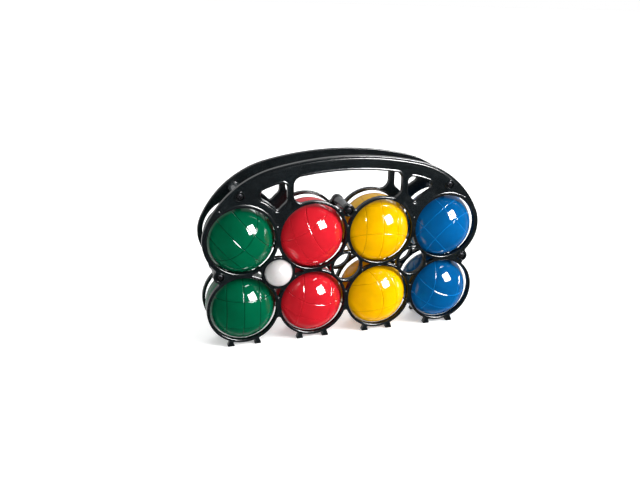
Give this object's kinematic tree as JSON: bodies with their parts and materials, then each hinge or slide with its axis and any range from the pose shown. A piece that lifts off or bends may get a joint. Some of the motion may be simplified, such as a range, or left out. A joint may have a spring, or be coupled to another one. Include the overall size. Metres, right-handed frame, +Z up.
{
  "type": "bocce ball set",
  "caption": "Bocce balls and a small jack held in two rows between the two ringed plastic frames of a carrier with an arched hand grip.",
  "frame": {"origin": "middle of the carrier's base, at the level of the feet's soles, midway between the two frames", "axes": "+X along the rows towards the blue balls, +Y from the front frame (jack and screw heads) to the back frame, +Z up"},
  "size_m": [0.3092, 0.075, 0.2025],
  "materials": {
    "frame_plastic": "satin moulded black",
    "screw_steel": "dark plated steel",
    "ball_green": "high gloss",
    "ball_red": "high gloss",
    "ball_yellow": "high gloss",
    "ball_blue": "high gloss",
    "jack_white": "soft gloss"
  },
  "bodies": {
    "back_frame": {"back_frame": "frame_plastic"},
    "front_frame": {"front_frame": "frame_plastic"},
    "screw_top": {"screw_top": "screw_steel"},
    "screw_left_shoulder": {"screw_left_shoulder": "screw_steel"},
    "screw_right_shoulder": {"screw_right_shoulder": "screw_steel"},
    "screw_left_end": {"screw_left_end": "screw_steel"},
    "screw_right_end": {"screw_right_end": "screw_steel"},
    "ball_green_upper": {"ball_green_upper": "ball_green"},
    "ball_green_lower": {"ball_green_lower": "ball_green"},
    "ball_red_upper": {"ball_red_upper": "ball_red"},
    "ball_red_lower": {"ball_red_lower": "ball_red"},
    "ball_yellow_upper": {"ball_yellow_upper": "ball_yellow"},
    "ball_yellow_lower": {"ball_yellow_lower": "ball_yellow"},
    "ball_blue_upper": {"ball_blue_upper": "ball_blue"},
    "ball_blue_lower": {"ball_blue_lower": "ball_blue"},
    "jack_ball": {"jack_ball": "jack_white"}
  },
  "joints": [
    {"name": "front_frame_slide", "type": "slide", "parent": "back_frame", "child": "front_frame", "axis": [0, -1, 0], "range_m": [0, 0.12]},
    {"name": "screw_top_slide", "type": "slide", "parent": "back_frame", "child": "screw_top", "axis": [0, -1, 0], "range_m": [0, 0.18]},
    {"name": "screw_left_shoulder_slide", "type": "slide", "parent": "back_frame", "child": "screw_left_shoulder", "axis": [0, -1, 0], "range_m": [0, 0.18]},
    {"name": "screw_right_shoulder_slide", "type": "slide", "parent": "back_frame", "child": "screw_right_shoulder", "axis": [0, -1, 0], "range_m": [0, 0.18]},
    {"name": "screw_left_end_slide", "type": "slide", "parent": "back_frame", "child": "screw_left_end", "axis": [0, -1, 0], "range_m": [0, 0.18]},
    {"name": "screw_right_end_slide", "type": "slide", "parent": "back_frame", "child": "screw_right_end", "axis": [0, -1, 0], "range_m": [0, 0.18]},
    {"name": "ball_green_upper_slide", "type": "slide", "parent": "back_frame", "child": "ball_green_upper", "axis": [0, -1, 0], "range_m": [0, 0.06]},
    {"name": "ball_green_lower_slide", "type": "slide", "parent": "back_frame", "child": "ball_green_lower", "axis": [0, -1, 0], "range_m": [0, 0.06]},
    {"name": "ball_red_upper_slide", "type": "slide", "parent": "back_frame", "child": "ball_red_upper", "axis": [0, -1, 0], "range_m": [0, 0.06]},
    {"name": "ball_red_lower_slide", "type": "slide", "parent": "back_frame", "child": "ball_red_lower", "axis": [0, -1, 0], "range_m": [0, 0.06]},
    {"name": "ball_yellow_upper_slide", "type": "slide", "parent": "back_frame", "child": "ball_yellow_upper", "axis": [0, -1, 0], "range_m": [0, 0.06]},
    {"name": "ball_yellow_lower_slide", "type": "slide", "parent": "back_frame", "child": "ball_yellow_lower", "axis": [0, -1, 0], "range_m": [0, 0.06]},
    {"name": "ball_blue_upper_slide", "type": "slide", "parent": "back_frame", "child": "ball_blue_upper", "axis": [0, -1, 0], "range_m": [0, 0.06]},
    {"name": "ball_blue_lower_slide", "type": "slide", "parent": "back_frame", "child": "ball_blue_lower", "axis": [0, -1, 0], "range_m": [0, 0.06]},
    {"name": "jack_ball_slide", "type": "slide", "parent": "front_frame", "child": "jack_ball", "axis": [0, -1, 0], "range_m": [0, 0.05]}
  ],
  "couplings": [
    {"joint": "screw_top_slide", "follows": "front_frame_slide", "ratio": 1.5},
    {"joint": "screw_left_shoulder_slide", "follows": "front_frame_slide", "ratio": 1.5},
    {"joint": "screw_right_shoulder_slide", "follows": "front_frame_slide", "ratio": 1.5},
    {"joint": "screw_left_end_slide", "follows": "front_frame_slide", "ratio": 1.5},
    {"joint": "screw_right_end_slide", "follows": "front_frame_slide", "ratio": 1.5},
    {"joint": "ball_green_upper_slide", "follows": "front_frame_slide", "ratio": 0.5},
    {"joint": "ball_green_lower_slide", "follows": "front_frame_slide", "ratio": 0.5},
    {"joint": "ball_red_upper_slide", "follows": "front_frame_slide", "ratio": 0.5},
    {"joint": "ball_red_lower_slide", "follows": "front_frame_slide", "ratio": 0.5},
    {"joint": "ball_yellow_upper_slide", "follows": "front_frame_slide", "ratio": 0.5},
    {"joint": "ball_yellow_lower_slide", "follows": "front_frame_slide", "ratio": 0.5},
    {"joint": "ball_blue_upper_slide", "follows": "front_frame_slide", "ratio": 0.5},
    {"joint": "ball_blue_lower_slide", "follows": "front_frame_slide", "ratio": 0.5}
  ]
}
